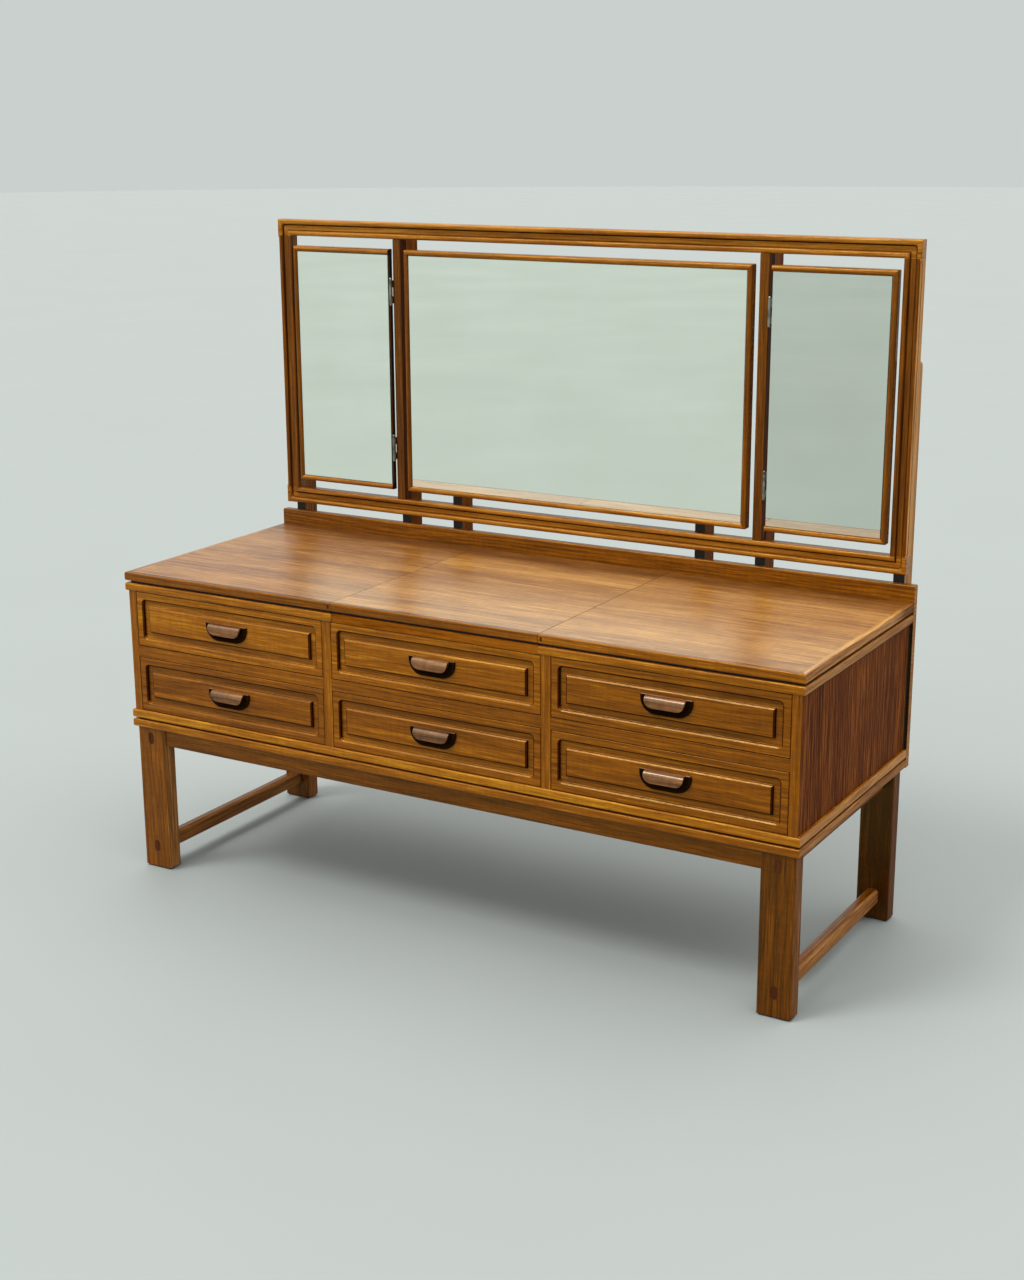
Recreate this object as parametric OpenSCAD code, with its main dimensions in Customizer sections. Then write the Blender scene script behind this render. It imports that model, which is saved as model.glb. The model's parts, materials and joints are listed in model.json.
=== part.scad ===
// Vanity table with a three-part mirror.
// X runs along the front, +Y to the back, +Z up, in millimetres.
// The origin is on the floor, at the middle of the object's overall box.

/* [Overall] */
// Width over the boards
overall_w = 1350; // [1200:10:1500]
// Front to back size of the top and the base boards
board_d = 490; // [430:10:540]
// Height of the legs, glides included
leg_h = 283; // [200:1:400]

/* [Case] */
// Clear height inside the case, for two rows of drawers
case_h = 231; // [190:1:300]
// Thickness of the side panels
side_t = 16.5; // [12:0.5:20]
// Thickness of the two dividers
divider_t = 18; // [14:0.5:22]
// Height of the rail between upper and lower drawers
rail_h = 21; // [16:1:30]
// How far the boards stand out past the case at each end
overhang = 5.5; // [4:0.5:10]
// How far the case front is set back from the boards
face_y = 3; // [2:0.5:6]
// Width of the middle top board
centre_top_w = 414; // [380:2:420]

/* [Boards] */
// Thickness of the three top boards
top_t = 16; // [12:0.5:22]
// Thickness of the boards under the top
under_t = 15; // [12:0.5:20]
// Height of the black shadow gap below the top
top_gap = 4; // [3:0.5:6]
// Thickness of the case's bottom board
bottom_t = 16; // [12:0.5:20]
// Height of the black shadow gap above the base board
base_gap = 3; // [2:0.5:6]
// Thickness of the base board
base_t = 15; // [12:0.5:20]
// Rounding of the boards' exposed edges
edge_r = 3; // [1:0.5:5]
// Thickness of the back board
back_t = 15; // [12:0.5:20]
// Height of the back board above the top
splash_h = 31; // [20:1:50]

/* [Base] */
// Width of a leg across the front
leg_w = 60; // [50:1:75]
// Thickness of a leg front to back
leg_t = 32; // [25:1:40]
// How far a leg is set in from the boards' end
leg_inset = 7; // [4:1:12]
// Height of the rails under the base board
apron_h = 33.5; // [25:0.5:50]
// Thickness of the rails under the base board
apron_t = 20; // [16:1:24]
// Height of a side stretcher
stretcher_h = 30; // [26:1:40]
// Thickness of a side stretcher
stretcher_t = 22; // [18:1:28]
// Height of the stretchers' middle above the floor
stretcher_z = 45; // [30:1:90]

/* [Drawers] */
// Gap round a drawer front
front_gap = 1.2; // [0.8:0.1:2]
// Thickness of a drawer front
front_t = 18; // [15:1:22]
// Thickness of the box sides
box_t = 9; // [7:1:12]
// Length of the drawer box
box_l = 430; // [300:10:440]
// Width of the flat border outside the groove
border_w = 14.5; // [10:0.5:20]
// Width of the routed groove
groove_w = 12.5; // [8:0.5:16]
// Depth of the routed groove
groove_d = 6; // [3:0.5:8]
// Width of a pull
pull_w = 92; // [80:1:110]
// Height of a pull
pull_h = 33; // [28:1:40]
// How far a pull stands out from the drawer front
pull_out = 13; // [11:0.5:16]

/* [Mirror] */
// How far the mirror frame is set in from the boards' end
frame_inset = 16; // [10:1:24]
// Height of the frame's lower edge above the floor
frame_z0 = 631; // [625:1:660]
// Height of the mirror frame
frame_h = 567; // [500:1:620]
// Width of the frame's rails and stiles
member_w = 31.5; // [28:0.5:36]
// Thickness of the frame
frame_t = 20; // [18:1:24]
// Distance from the frame's edge to each mirror's upper and lower edge
mirror_gap = 50; // [45:1:60]
// Width of the half-round strips round the mirrors
strip_w = 10.5; // [8:0.5:14]
// Width of the inner stiles between the three mirrors
stile_w = 18; // [16:1:20]
// Width of the uprights
post_w = 20; // [18:1:22]
// Depth of the uprights
post_d = 40; // [30:1:44]
// Height of the short uprights' top
post_top = 992; // [900:1:1100]

/* [Hidden] */
cut = 1;
base_z = leg_h;
bottom_z = base_z + base_t + base_gap;
case_z = bottom_z + bottom_t;
under_z = case_z + case_h;
top_z = under_z + under_t + top_gap;
table_h = top_z + top_t;
rail_z = case_z + (case_h - rail_h) / 2;
rail_d = 30;
half_w = overall_w / 2;
back_y = board_d + back_t;
rear_y = back_y + post_d;
head_h = 1.8;
mid_y = (rear_y + head_h + face_y - pull_out) / 2;
inner_w = overall_w - 2 * (overhang + side_t);
bay_w = (inner_w - 2 * divider_t) / 3;
bay_h = (case_h - rail_h) / 2;
bay_pitch = bay_w + divider_t;
case_rear = board_d - 6;
side_edge_r = 1;
leg_x = half_w - leg_inset - leg_w / 2;
leg_front = 5;
leg_rear = 454;
spacer_inset = 8;
glide_h = 3;
tenon_w = 12;
tenon_h = 23;
tenon_top_z = base_z - 21;
plug_l = 8;
plug_proud = 0.3;
seam_plug_x = centre_top_w / 2 + 6;
seam_plug_z = top_z + top_t / 2;
seam_plug_l = 6;
seam_plug_w = 4;
slide_play = 0.5;
box_h = 82;
frame_y = back_y - frame_t;
frame_x = half_w - frame_inset;
frame_z1 = frame_z0 + frame_h;
bead_r = 4;
frame_groove_d = 5;
stile_y = frame_y + 2;
end_post_x = 640;
stile_x = 380;
centre_post_x = 260.5;
facing_t = 1.5;
post_z = 300;
mirror_z0 = frame_z0 + mirror_gap;
mirror_z1 = frame_z1 - mirror_gap;
mirror_h = mirror_z1 - mirror_z0;
mirror_y = 478;
glass_set = 4;
glass_t = 4;
wing_glass_set = 3;
centre_w = 721;
centre_strip_d = 18;
wing_y = 479;
wing_d = 16;
wing_edge_x = 396;
wing_outer_x = 621.5;
wing_w = wing_outer_x - wing_edge_x;
pivot_x = 392.5;
pivot_y = 483;
knuckle_r = 3.1;
pin_r = 1.5;
pin_play = 0.05;
leaf_t = 1.2;
leaf_y = pivot_y + 2.6;
leaf_end = 11;
hinge_h = 44;
hinge_zs = [763.7, 1067.5];
mid_knuckle = 16;
knuckle_gap = 0.3;

COLUMNS = ["left", "centre", "right"];
ROWS = ["lower", "upper"];
DRAWERS = [for (c = COLUMNS, r = ROWS) str(c, "_", r)];

teak = "#b5722f";
dark_teak = "#7a3f1c";
pale_teak = "#c08a55";
walnut = "#5e3420";
black_paint = "#151210";
nickel = "#b9b6ac";
silver = "#c9d6cf";

// ---------- shared shapes ----------

// Moves the object's box onto its origin.
module place() {
    translate([0, -mid_y, 0]) children();
}

// Draws the right-hand piece and its mirror image.
module both_sides() {
    children();
    mirror([1, 0, 0]) children();
}

// Mirrors the right-hand piece to the left when side is -1.
module on_side(side) {
    if (side < 0) mirror([1, 0, 0]) children();
    else children();
}

// Takes one corner of a flat outline back to a radius. The corner points along +x, +y.
module corner_cut(r) {
    translate([-r, -r]) difference() {
        square(r + cut);
        circle(r, $fn = 32);
    }
}

// Rectangle from [0, 0] with radii at [x0 y0, x1 y0, x1 y1, x0 y1]; 0 leaves a corner sharp.
module card(w, h, radii) {
    difference() {
        square([w, h]);
        if (radii[0] > 0) rotate(180) corner_cut(radii[0]);
        if (radii[1] > 0) translate([w, 0]) rotate(-90) corner_cut(radii[1]);
        if (radii[2] > 0) translate([w, h]) corner_cut(radii[2]);
        if (radii[3] > 0) translate([0, h]) rotate(90) corner_cut(radii[3]);
    }
}

// Extrudes an outline drawn in Y, Z along X.
module along_x(l) {
    rotate([90, 0, 90]) linear_extrude(l) children();
}

// Extrudes an outline drawn in X, Z along Y.
module along_y(l) {
    translate([0, l, 0]) rotate([90, 0, 0]) linear_extrude(l) children();
}

// Board that lies flat, from its low corner, with its front edge rounded and its ends as asked.
module flat_board(size, r, left_r = 0, right_r = 0) {
    intersection() {
        along_x(size.x) card(size.y, size.z, [r, 0, 0, r]);
        along_y(size.y) card(size.x, size.z, [left_r, right_r, right_r, left_r]);
    }
}

// Upright or rail with its four long edges eased, the length along X, Y or Z.
module bar_z(size, r) {
    linear_extrude(size.z) card(size.x, size.y, [r, r, r, r]);
}

module bar_y(size, r) {
    along_y(size.y) card(size.x, size.z, [r, r, r, r]);
}

module bar_x(size, r) {
    along_x(size.x) card(size.y, size.z, [r, r, r, r]);
}

// Stadium shaped tenon outline, upright, with its middle on the origin.
module tenon_outline() {
    for (end = [-1, 1]) {
        translate([0, end * (tenon_h - tenon_w) / 2]) circle(d = tenon_w, $fn = 32);
    }
    square([tenon_w, tenon_h - tenon_w], center = true);
}

module tenon(y0, y1, z) {
    translate([leg_x, y0, z]) along_y(y1 - y0) tenon_outline();
}

// ---------- base ----------

// Left-hand or right-hand leg; back legs use the later y.
module leg(side, y) {
    color(teak) place() on_side(side) difference() {
        translate([leg_x - leg_w / 2, y, glide_h]) bar_z([leg_w, leg_t, leg_h - glide_h], 3);
        for (z = [stretcher_z, tenon_top_z]) {
            tenon(y - cut, y + leg_t + cut, z);
        }
    }
}

module glides() {
    inset = 3;
    color(black_paint) place() both_sides() {
        for (y = [leg_front, leg_rear]) {
            translate([leg_x - leg_w / 2 + inset, y + inset, 0])
                bar_z([leg_w - 2 * inset, leg_t - 2 * inset, glide_h], 2);
        }
    }
}

module side_rail_tenons(z) {
    lap = 1;
    tenon(leg_front + plug_l, leg_front + leg_t + lap, z);
    tenon(leg_rear - lap, leg_rear + leg_t - plug_l, z);
}

module base_rails() {
    rail_y = leg_front + leg_t;
    rail_l = leg_rear - rail_y;
    span = 2 * (leg_x - leg_w / 2);
    apron_setback = 6;
    z = base_z - apron_h;
    color(teak) place() {
        for (y = [leg_front + apron_setback, leg_rear + leg_t - apron_setback - apron_t]) {
            translate([-span / 2, y, z]) bar_x([span, apron_t, apron_h], 2);
        }
        both_sides() {
            translate([leg_x - apron_t / 2, rail_y, z]) bar_y([apron_t, rail_l, apron_h], 2);
            side_rail_tenons(tenon_top_z);
        }
    }
}

module stretchers() {
    rail_y = leg_front + leg_t;
    chamfer = 5;
    color(teak) place() both_sides() {
        translate([leg_x, rail_y, stretcher_z]) along_y(leg_rear - rail_y)
            chamfered(stretcher_t, stretcher_h, chamfer);
        side_rail_tenons(stretcher_z);
    }
}

// Rectangle about the origin with its corners cut at 45 degrees.
module chamfered(w, h, c) {
    polygon([
        [-w / 2 + c, -h / 2], [w / 2 - c, -h / 2], [w / 2, -h / 2 + c], [w / 2, h / 2 - c],
        [w / 2 - c, h / 2], [-w / 2 + c, h / 2], [-w / 2, h / 2 - c], [-w / 2, -h / 2 + c]
    ]);
}

module base_board() {
    color(teak) place() translate([-half_w, 0, base_z])
        flat_board([overall_w, board_d, base_t], edge_r, edge_r, edge_r);
}

// Tenon ends in the legs' outer faces, and the small plugs by the seams of the top.
module tenon_plugs() {
    color(walnut) place() both_sides() {
        for (z = [stretcher_z, tenon_top_z]) {
            tenon(leg_front - plug_proud, leg_front + plug_l, z);
            tenon(leg_rear + leg_t - plug_l, leg_rear + leg_t + plug_proud, z);
        }
        translate([seam_plug_x, -plug_proud, seam_plug_z]) along_y(seam_plug_l) seam_plug_outline();
    }
}

module seam_plug_outline() {
    for (end = [-1, 1]) {
        translate([0, end * seam_plug_w / 2]) circle(d = seam_plug_w, $fn = 32);
    }
    square(seam_plug_w, center = true);
}

// ---------- case ----------

module bottom_board() {
    color(teak) place() translate([-half_w, 0, bottom_z])
        flat_board([overall_w, board_d, bottom_t], edge_r, edge_r, edge_r);
}

module side_panel(side) {
    color(dark_teak) place() on_side(side)
        translate([half_w - overhang - side_t, face_y, case_z])
            linear_extrude(case_h) card(side_t, case_rear - face_y, [0, side_edge_r, 0, 0]);
}

module dividers() {
    color(teak) place() both_sides() {
        translate([bay_w / 2, face_y, case_z]) cube([divider_t, case_rear - face_y, case_h]);
    }
}

module drawer_rails() {
    color(teak) place() for (i = [-1, 0, 1]) {
        translate([i * bay_pitch - bay_w / 2, face_y, rail_z]) cube([bay_w, rail_d, rail_h]);
    }
}

module drawer_runners() {
    runner_w = 22;
    y0 = face_y + rail_d;
    color(pale_teak) place() for (i = [-1, 0, 1]) {
        for (x = [i * bay_pitch - bay_w / 2, i * bay_pitch + bay_w / 2 - runner_w]) {
            translate([x, y0, rail_z]) cube([runner_w, case_rear - y0, rail_h]);
        }
    }
}

module under_boards() {
    color(teak) place() both_sides() {
        translate([centre_top_w / 2, 0, under_z])
            flat_board([half_w - centre_top_w / 2, board_d, under_t], edge_r, edge_r, edge_r);
    }
}

module centre_web() {
    setback = 1.5;
    color(dark_teak) place() translate([-centre_top_w / 2, setback, under_z])
        cube([centre_top_w, board_d - setback, under_t]);
}

module top_side(side) {
    w = half_w - centre_top_w / 2;
    color(pale_teak) place() on_side(side) difference() {
        translate([half_w - w, 0, top_z]) flat_board([w, board_d, top_t], edge_r, 0, edge_r);
        translate([seam_plug_x, -cut, seam_plug_z]) along_y(seam_plug_l - plug_proud + cut)
            seam_plug_outline();
    }
}

module top_centre() {
    color(pale_teak) place() translate([-centre_top_w / 2, 0, top_z])
        flat_board([centre_top_w, board_d, top_t], edge_r);
}

module back_board() {
    z0 = base_z;
    h = table_h + splash_h - z0;
    color(teak) place() difference() {
        translate([-half_w, board_d, z0]) intersection() {
            along_x(overall_w) card(back_t, h, [0, 0, edge_r, edge_r]);
            along_y(back_t) card(overall_w, h, [0, 0, edge_r, edge_r]);
        }
        screw_shanks(screw_play);
    }
}

module case_back() {
    inset = 5;
    color(black_paint) place() translate([-half_w + inset, case_rear, case_z])
        cube([overall_w - 2 * inset, board_d - case_rear, case_h]);
}

module shadow_strips() {
    w = overall_w - 2 * spacer_inset;
    color(black_paint) place() {
        translate([-w / 2, spacer_inset, base_z + base_t])
            cube([w, board_d - spacer_inset, base_gap]);
        translate([-w / 2, spacer_inset, under_z + under_t])
            cube([w, board_d - spacer_inset, top_gap]);
    }
}

// ---------- mirror uprights ----------

POSTS = [
    [end_post_x, post_top],
    [stile_x, frame_z1 - 8],
    [centre_post_x, post_top]
];
screw_zs = [base_z + 60, table_h - 60];
shank_r = 2;
shank_l = post_d + 10;
head_r = 4.5;
screw_play = 0.05;

// Screw bores or shanks, right-hand side and left-hand side, widened by play.
module screw_shanks(play) {
    both_sides() for (p = POSTS, z = screw_zs) {
        translate([p[0], rear_y, z]) rotate([90, 0, 0])
            cylinder(r = shank_r + play, h = shank_l + play, $fn = 32);
    }
}

module uprights() {
    corner_r = 12;
    color(dark_teak) place() difference() {
        both_sides() for (p = POSTS) {
            translate([p[0] - post_w / 2, back_y + facing_t, post_z]) along_x(post_w)
                card(post_d - facing_t, p[1] - post_z, [0, 0, corner_r, 0]);
        }
        screw_shanks(screw_play);
    }
}

module upright_facings() {
    color(black_paint) place() difference() {
        both_sides() for (p = POSTS) {
            translate([p[0] - post_w / 2, back_y, post_z])
                cube([post_w, facing_t, p[1] - post_z]);
        }
        screw_shanks(screw_play);
    }
}

module screws() {
    color(nickel) place() {
        screw_shanks(0);
        both_sides() for (p = POSTS, z = screw_zs) {
            translate([p[0], rear_y + head_h, z]) rotate([90, 0, 0])
                cylinder(r = head_r, h = head_h, $fn = 32);
        }
    }
}

// ---------- mirror frame ----------

// Cross-section of a frame member: width along x, depth along y, with two beads and a groove.
module member_outline() {
    bead_w = (member_w - groove_w) / 2;
    difference() {
        card(member_w, frame_t, [bead_r, bead_r, 0, 0]);
        translate([bead_w, -cut]) square([groove_w, frame_groove_d + cut]);
    }
}

module frame_rails() {
    color(teak) place() for (z = [frame_z0, frame_z1 - member_w]) {
        translate([-frame_x, frame_y, z]) rotate([0, -90, 0]) mirror([0, 0, 1])
            linear_extrude(2 * frame_x) member_outline();
    }
}

module frame_stiles() {
    inner_h = frame_h - 2 * member_w;
    color(teak) place() both_sides() translate([0, 0, frame_z0 + member_w]) linear_extrude(inner_h) {
        translate([frame_x - member_w, frame_y]) member_outline();
        translate([stile_x - stile_w / 2, stile_y]) card(stile_w, back_y - stile_y, [1, 1, 0, 0]);
    }
}

// Half-round strip along +X from the origin, its outer edge on z = 0, its front on y = 0.
// The ends are mitred where start and end are true.
module strip(l, d, start, end) {
    front_r = 5;
    intersection() {
        along_x(l) card(d, strip_w, [front_r, 0, 0, front_r]);
        along_y(d) polygon([
            [0, 0], [l, 0], [l - (end ? strip_w : 0), strip_w], [start ? strip_w : 0, strip_w]
        ]);
    }
}

// ---------- centre mirror ----------

module centre_strips() {
    color(teak) place() translate([0, mirror_y, 0]) {
        for (turn = [0, 180]) {
            translate([0, 0, (mirror_z0 + mirror_z1) / 2]) rotate([0, turn, 0])
                translate([-centre_w / 2, 0, -mirror_h / 2])
                    strip(centre_w, centre_strip_d, true, true);
        }
        both_sides() translate([centre_w / 2, 0, mirror_z0]) rotate([0, -90, 0])
            strip(mirror_h, centre_strip_d, true, true);
    }
}

module centre_glass() {
    w = centre_w - 2 * strip_w;
    color(silver) place() translate([-w / 2, mirror_y + glass_set, mirror_z0 + strip_w])
        cube([w, glass_t, mirror_h - 2 * strip_w]);
}

module centre_board() {
    w = centre_w - 2 * strip_w;
    y = mirror_y + glass_set + glass_t;
    color(dark_teak) place() translate([-w / 2, y, mirror_z0 + strip_w])
        cube([w, mirror_y + centre_strip_d - y, mirror_h - 2 * strip_w]);
}

module centre_battens() {
    batten_w = 40;
    batten_h = 240;
    y = mirror_y + centre_strip_d;
    color(pale_teak) place() both_sides() {
        translate([centre_post_x - batten_w / 2, y, post_top - 30 - batten_h])
            cube([batten_w, back_y - y, batten_h]);
    }
}

// ---------- wing mirrors, drawn on the right and mirrored for the left ----------

module wing_strips(side) {
    color(teak) place() on_side(side) translate([0, wing_y, 0]) {
        translate([wing_edge_x, 0, mirror_z0]) strip(wing_w, wing_d, false, true);
        translate([wing_outer_x, 0, mirror_z1]) rotate([0, 180, 0]) strip(wing_w, wing_d, true, false);
        translate([wing_outer_x, 0, mirror_z0]) rotate([0, -90, 0])
            strip(mirror_h, wing_d, true, true);
    }
}

module wing_glass(side) {
    clear = 0.3;
    x0 = wing_edge_x + leaf_t + clear;
    color(silver) place() on_side(side)
        translate([x0, wing_y + wing_glass_set, mirror_z0 + strip_w])
            cube([wing_outer_x - strip_w - x0, glass_t, mirror_h - 2 * strip_w]);
}

module wing_board(side) {
    w = wing_w - strip_w;
    y = wing_y + wing_glass_set + glass_t;
    color(dark_teak) place() on_side(side) difference() {
        translate([wing_edge_x, y, mirror_z0 + strip_w])
            cube([w, wing_y + wing_d - y, mirror_h - 2 * strip_w]);
        for (z = hinge_zs) {
            translate([wing_edge_x - cut, y - cut, z - hinge_h / 2 - slide_play])
                cube([cut + leaf_t, wing_d, hinge_h + 2 * slide_play]);
        }
    }
}

// ---------- hinges ----------

module knuckle(z0, z1) {
    translate([pivot_x, pivot_y, z0]) cylinder(r = knuckle_r, h = z1 - z0, $fn = 48);
}

module pin_bore(play) {
    for (z = hinge_zs) {
        translate([pivot_x, pivot_y, z - hinge_h])
            cylinder(r = pin_r + play, h = 2 * hinge_h, $fn = 48);
    }
}

// Leaf let into the wing's black edge, with the middle knuckle.
module wing_leaves(side) {
    color(nickel) place() on_side(side) difference() {
        for (z = hinge_zs) {
            translate([wing_edge_x, leaf_y, z - hinge_h / 2])
                cube([leaf_t, wing_y + wing_d - leaf_y, hinge_h]);
            translate([pivot_x, pivot_y + knuckle_r - leaf_t, z - mid_knuckle / 2])
                cube([wing_edge_x + leaf_t - pivot_x, leaf_t, mid_knuckle]);
            knuckle(z - mid_knuckle / 2, z + mid_knuckle / 2);
        }
        pin_bore(pin_play);
    }
}

// Leaf on the inner stile's side, with the two outer knuckles.
module hinge_frame_leaves() {
    stile_face = stile_x + stile_w / 2;
    color(nickel) place() both_sides() difference() {
        for (z = hinge_zs) {
            translate([stile_face, stile_y + 1, z - hinge_h / 2])
                cube([leaf_t, leaf_end, hinge_h]);
            for (end = [-1, 1]) {
                z0 = end > 0 ? z + mid_knuckle / 2 + knuckle_gap : z - hinge_h / 2;
                h = hinge_h / 2 - mid_knuckle / 2 - knuckle_gap;
                knuckle(z0, z0 + h);
                translate([stile_face, pivot_y, z0]) cube([leaf_t, stile_y + 1 - pivot_y, h]);
            }
        }
        pin_bore(0);
    }
}

module hinge_pins() {
    tip_r = 2.9;
    sunk = 0.6;
    side = 4 * tip_r;
    color(nickel) place() both_sides() for (z = hinge_zs) {
        translate([pivot_x, pivot_y, z - hinge_h / 2]) cylinder(r = pin_r, h = hinge_h, $fn = 48);
        for (end = [-1, 1]) {
            translate([pivot_x, pivot_y, z + end * (hinge_h / 2 + tip_r - sunk)]) difference() {
                sphere(tip_r, $fn = 48);
                translate([0, 0, end * (sunk - tip_r - side / 2)]) cube(side, center = true);
            }
        }
    }
}

// ---------- drawers ----------

// Column -1, 0 or 1 and row 0 or 1 give the low corner of a bay.
function bay_x(i) = i * bay_pitch - bay_w / 2;
function bay_z(row) = row == 0 ? case_z : rail_z + rail_h;

// Groove cut by a round bit: the outer corners are round, the inner ones sharp.
module groove_ring(w, h) {
    outer_r = groove_w / 2;
    difference() {
        translate([border_w, border_w])
            card(w - 2 * border_w, h - 2 * border_w, [outer_r, outer_r, outer_r, outer_r]);
        field = border_w + groove_w;
        translate([field, field]) square([w - 2 * field, h - 2 * field]);
    }
}

module drawer_front(i, row) {
    w = bay_w - 2 * front_gap;
    h = bay_h - 2 * front_gap;
    color(teak) place() translate([bay_x(i) + front_gap, face_y, bay_z(row) + front_gap])
        difference() {
            cube([w, front_t, h]);
            translate([0, -cut, 0]) along_y(groove_d + cut) groove_ring(w, h);
        }
}

module drawer_box(i, row) {
    side_gap = 1.5;
    w = bay_w - 2 * side_gap;
    y0 = face_y + front_t;
    floor_t = 4;
    floor_up = 6;
    color(pale_teak) place() translate([bay_x(i) + side_gap, y0, bay_z(row) + slide_play]) {
        for (x = [0, w - box_t]) {
            translate([x, 0, 0]) cube([box_t, box_l, box_h]);
        }
        translate([box_t, box_l - box_t, floor_up + floor_t])
            cube([w - 2 * box_t, box_t, box_h - floor_up - floor_t]);
        translate([box_t, 0, floor_up]) cube([w - 2 * box_t, box_l, floor_t]);
    }
}

// Outline of a shape with a flat top and round lower corners, its middle on x = 0, its top on y = 0.
module shield(w, h, r) {
    intersection() {
        translate([-w / 2, -h]) square([w, h]);
        union() {
            translate([-w / 2 + r, -h]) square([w - 2 * r, h]);
            for (s = [-1, 1]) {
                translate([s * (w / 2 - r), -h + r]) circle(r, $fn = 64);
            }
        }
    }
}

// Pull: a plate with a hood that curls forward and down over a finger hollow.
module pull(i, row) {
    plate_t = 3.5;
    plate_r = 27;
    hood_w = pull_w - 18;
    hood_h = 25;
    hood_r = 17;
    wall = 4;
    bend_r = pull_out - plate_t;
    y0 = face_y - plate_t;
    z1 = bay_z(row) + bay_h / 2 + pull_h / 2;
    color(walnut) place() translate([i * bay_pitch, 0, z1]) {
        translate([0, y0, 0]) along_y(plate_t) shield(pull_w, pull_h, plate_r);
        intersection() {
            translate([0, y0 - bend_r, 0]) along_y(bend_r) shield(hood_w, hood_h, hood_r);
            translate([-pull_w / 2, y0, -bend_r]) along_x(pull_w) difference() {
                union() {
                    circle(bend_r, $fn = 64);
                    translate([-bend_r, -pull_h]) square([2 * bend_r, pull_h]);
                }
                circle(bend_r - wall, $fn = 64);
                translate([-bend_r + wall, -pull_h - cut]) square([2 * bend_r, pull_h + cut]);
            }
        }
    }
}

leg(-1, leg_front);  // leg_front_left
leg(1, leg_front);  // leg_front_right
leg(-1, leg_rear);  // leg_back_left
leg(1, leg_rear);  // leg_back_right
base_rails();
stretchers();
base_board();
glides();
tenon_plugs();
bottom_board();
side_panel(-1);  // side_left
side_panel(1);  // side_right
dividers();
drawer_rails();
drawer_runners();
under_boards();
centre_web();
top_side(-1);  // top_left
top_centre();
top_side(1);  // top_right
back_board();
case_back();
shadow_strips();
uprights();
upright_facings();
screws();
frame_rails();
frame_stiles();
centre_board();
centre_glass();
centre_strips();
centre_battens();
hinge_frame_leaves();
hinge_pins();
for (s = [["left", -1], ["right", 1]]) {
    wing_board(s[1]);
    wing_glass(s[1]);
    wing_strips(s[1]);
    wing_leaves(s[1]);
}
for (i = [0:2], row = [0:1]) {
    name = str(COLUMNS[i], "_", ROWS[row]);
    drawer_front(i - 1, row);
    drawer_box(i - 1, row);
    pull(i - 1, row);
}
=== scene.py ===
"""Looks of a teak vanity table with a three-part mirror.

Everything is in metres, in the row frame: X along the front, +Y to the back, +Z up. Each wooden piece is
made from the CAD node it stands for, or swept round that node's box, and carries three attributes that the
wood materials read: "grain", each face corner's place in the timber, "tone", how light the board is, with
painted light and shade added to it in places, and a third for how dark the joints are and where shade is
painted.
"""

import json
import math
import random

import bmesh
import bpy
from mathutils import Matrix, Vector

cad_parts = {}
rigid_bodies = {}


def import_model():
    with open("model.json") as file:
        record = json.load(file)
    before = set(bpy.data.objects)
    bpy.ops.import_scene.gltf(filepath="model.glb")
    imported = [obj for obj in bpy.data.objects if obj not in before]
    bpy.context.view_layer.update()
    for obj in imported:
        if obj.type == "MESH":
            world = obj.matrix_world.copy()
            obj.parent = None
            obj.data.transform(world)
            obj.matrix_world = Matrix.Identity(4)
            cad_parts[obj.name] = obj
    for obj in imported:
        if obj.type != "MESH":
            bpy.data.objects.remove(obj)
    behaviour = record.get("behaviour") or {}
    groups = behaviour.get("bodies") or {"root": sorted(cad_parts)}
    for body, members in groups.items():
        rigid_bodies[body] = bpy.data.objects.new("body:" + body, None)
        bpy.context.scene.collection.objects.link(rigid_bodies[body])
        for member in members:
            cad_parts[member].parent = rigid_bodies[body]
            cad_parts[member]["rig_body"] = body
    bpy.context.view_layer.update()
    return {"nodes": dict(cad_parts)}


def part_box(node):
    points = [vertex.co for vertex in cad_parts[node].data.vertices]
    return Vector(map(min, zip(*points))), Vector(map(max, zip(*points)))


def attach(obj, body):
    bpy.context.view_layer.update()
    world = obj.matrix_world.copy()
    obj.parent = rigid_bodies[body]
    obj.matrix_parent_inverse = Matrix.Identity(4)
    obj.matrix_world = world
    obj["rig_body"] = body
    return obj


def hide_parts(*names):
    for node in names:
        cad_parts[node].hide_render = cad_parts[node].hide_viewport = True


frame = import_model()

NODES = frame["nodes"]
MM = 0.001
AXES = "xyz"
SIDES = {"left": -1, "right": 1}
DRAWERS = [f"{column}_{row}" for column in ("left", "centre", "right") for row in ("lower", "upper")]


# ---------- materials ----------

def srgb(code):
    """Linear colour of a hex code, with alpha 1."""
    parts = [int(code[i:i + 2], 16) / 255 for i in (1, 3, 5)]
    return [c / 12.92 if c <= 0.04045 else ((c + 0.055) / 1.055) ** 2.4 for c in parts] + [1.0]


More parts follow.
